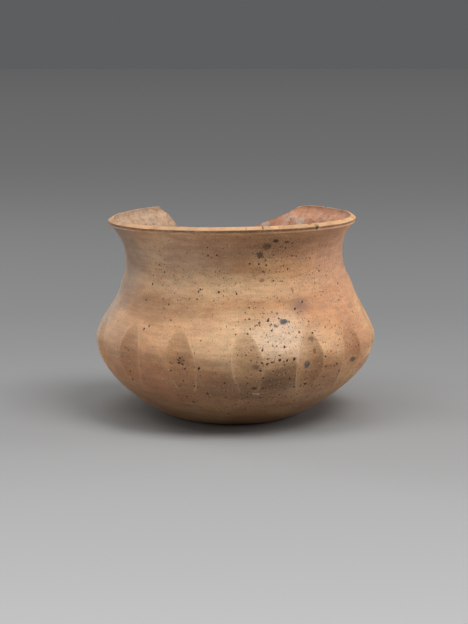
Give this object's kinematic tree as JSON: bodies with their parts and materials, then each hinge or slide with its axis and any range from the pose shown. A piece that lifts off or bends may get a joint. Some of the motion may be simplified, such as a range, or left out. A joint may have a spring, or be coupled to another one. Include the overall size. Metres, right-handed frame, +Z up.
{
  "type": "miniature jar",
  "caption": "Small open earthenware jar with a flat base, a keeled belly cut with upright flutes, a concave neck and a thin bevelled lip that rises and dips, broken at the back.",
  "frame": {"origin": "centre of the flat base, on the surface the jar stands on", "axes": "+Z up through the mouth, -Y towards the front, +Y towards the gap in the neck"},
  "size_m": [0.0848, 0.0847, 0.0606],
  "materials": {
    "smoked_clay": "satin",
    "buff_clay": "satin",
    "lip_clay": "matte"
  },
  "bodies": {
    "root": {"base_slab": "smoked_clay", "lower_bowl": "smoked_clay", "shoulder": "buff_clay", "neck_collar": "buff_clay", "rim_lip": "lip_clay"}
  },
  "joints": []
}
